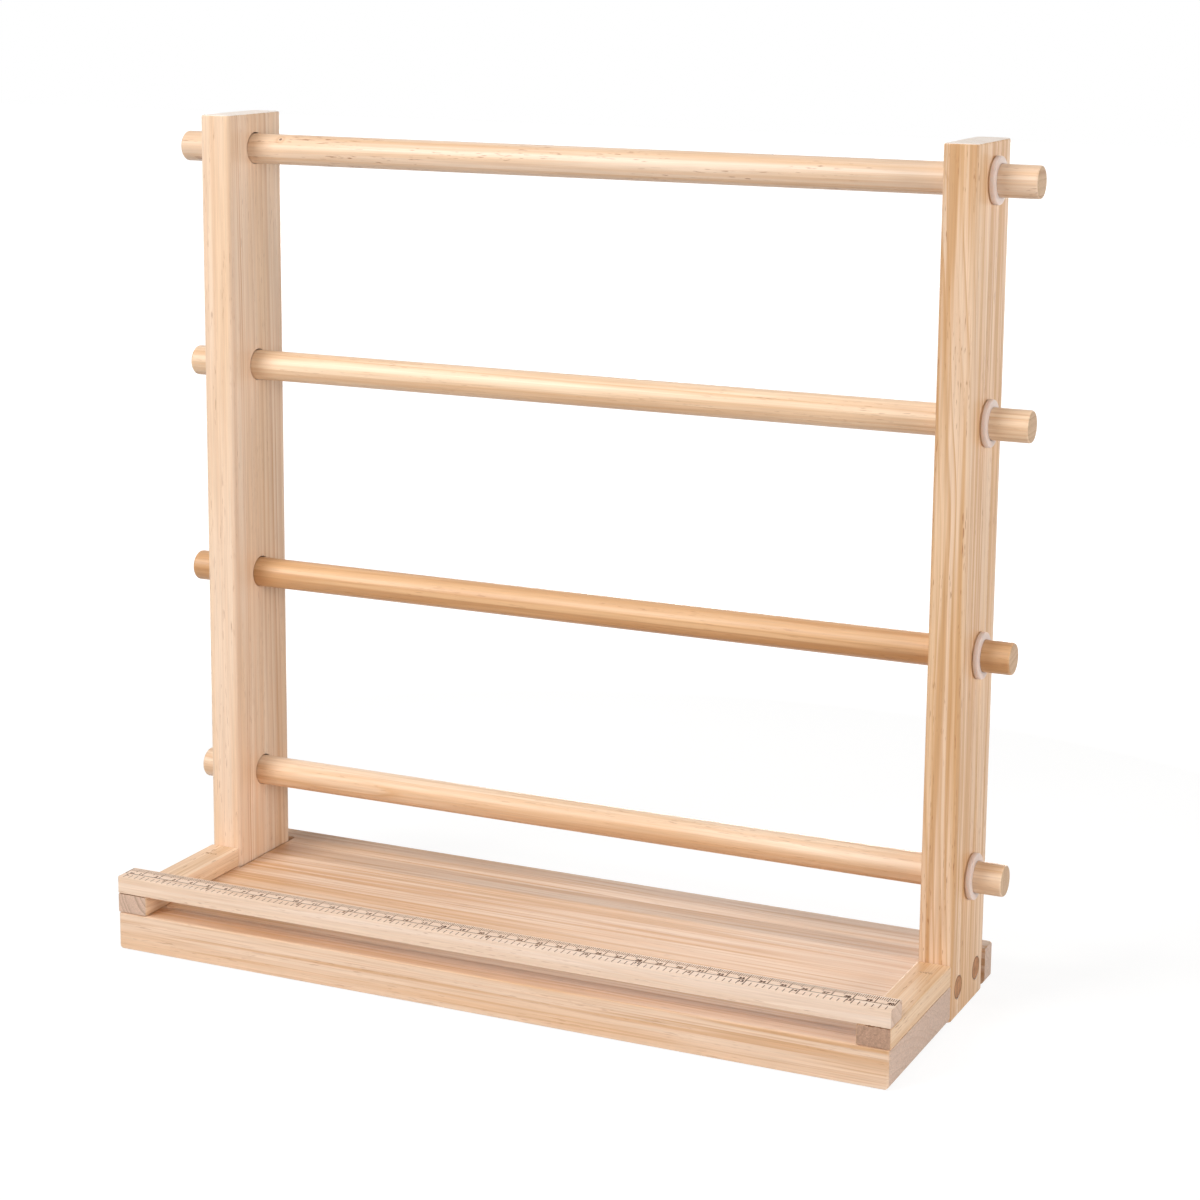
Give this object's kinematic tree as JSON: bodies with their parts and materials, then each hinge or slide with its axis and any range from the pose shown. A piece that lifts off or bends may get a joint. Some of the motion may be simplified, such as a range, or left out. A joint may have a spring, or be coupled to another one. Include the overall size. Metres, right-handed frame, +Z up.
{
  "type": "ribbon storage rack",
  "caption": "Free-standing pine rack: removable round rods between two posts hold ribbon spools over a notched base with side rails and a measuring bar.",
  "frame": {"origin": "centre of the base board's underside, which is also the middle of the board's length and depth", "axes": "+X along the rods, from the left post to the right one seen from the front; +Y from the front edge with the measuring bar to the back; +Z up"},
  "size_m": [0.4451, 0.1516, 0.4047],
  "materials": {
    "pine_board": "satin",
    "pine_strip": "satin",
    "pine_rod": "satin",
    "plug_wood": "matte",
    "soft_ring": "satin",
    "steel": "satin"
  },
  "bodies": {
    "stand": {"base_board": "pine_board", "left_post": "pine_board", "right_post": "pine_board", "left_rail": "pine_strip", "right_rail": "pine_strip", "measuring_bar": "pine_strip", "left_front_plug": "plug_wood", "left_back_plug": "plug_wood", "right_front_plug": "plug_wood", "right_back_plug": "plug_wood", "left_front_screw": "steel", "left_back_screw": "steel", "right_front_screw": "steel", "right_back_screw": "steel", "left_front_staple": "steel", "left_back_staple": "steel", "right_front_staple": "steel", "right_back_staple": "steel", "left_bar_pin": "steel", "right_bar_pin": "steel"},
    "left_ring_1": {"left_ring_1": "soft_ring"},
    "left_ring_2": {"left_ring_2": "soft_ring"},
    "left_ring_3": {"left_ring_3": "soft_ring"},
    "left_ring_4": {"left_ring_4": "soft_ring"},
    "rod_1": {"rod_1": "pine_rod"},
    "rod_2": {"rod_2": "pine_rod"},
    "rod_3": {"rod_3": "pine_rod"},
    "rod_4": {"rod_4": "pine_rod"},
    "right_ring_1": {"right_ring_1": "soft_ring"},
    "right_ring_2": {"right_ring_2": "soft_ring"},
    "right_ring_3": {"right_ring_3": "soft_ring"},
    "right_ring_4": {"right_ring_4": "soft_ring"}
  },
  "joints": [
    {"name": "rod_1_pull", "type": "slide", "parent": "stand", "child": "left_ring_1", "axis": [-1, 0, 0], "range_m": [0, 0.405]},
    {"name": "rod_2_pull", "type": "slide", "parent": "stand", "child": "left_ring_2", "axis": [-1, 0, 0], "range_m": [0, 0.405]},
    {"name": "rod_3_pull", "type": "slide", "parent": "stand", "child": "left_ring_3", "axis": [-1, 0, 0], "range_m": [0, 0.4]},
    {"name": "rod_4_pull", "type": "slide", "parent": "stand", "child": "left_ring_4", "axis": [-1, 0, 0], "range_m": [0, 0.4]},
    {"name": "rod_1_spin", "type": "hinge", "parent": "left_ring_1", "child": "rod_1", "pos_m": [0, 0.03465, 0.3872], "axis": [1, 0, 0], "continuous": true},
    {"name": "rod_2_spin", "type": "hinge", "parent": "left_ring_2", "child": "rod_2", "pos_m": [0, 0.03465, 0.27777], "axis": [1, 0, 0], "continuous": true},
    {"name": "rod_3_spin", "type": "hinge", "parent": "left_ring_3", "child": "rod_3", "pos_m": [0, 0.03465, 0.16993], "axis": [1, 0, 0], "continuous": true},
    {"name": "rod_4_spin", "type": "hinge", "parent": "left_ring_4", "child": "rod_4", "pos_m": [0, 0.03465, 0.064], "axis": [1, 0, 0], "continuous": true},
    {"name": "right_ring_1_pull", "type": "slide", "parent": "stand", "child": "right_ring_1", "axis": [1, 0, 0], "range_m": [0, 0.03]},
    {"name": "right_ring_2_pull", "type": "slide", "parent": "stand", "child": "right_ring_2", "axis": [1, 0, 0], "range_m": [0, 0.03]},
    {"name": "right_ring_3_pull", "type": "slide", "parent": "stand", "child": "right_ring_3", "axis": [1, 0, 0], "range_m": [0, 0.03]},
    {"name": "right_ring_4_pull", "type": "slide", "parent": "stand", "child": "right_ring_4", "axis": [1, 0, 0], "range_m": [0, 0.03]}
  ]
}
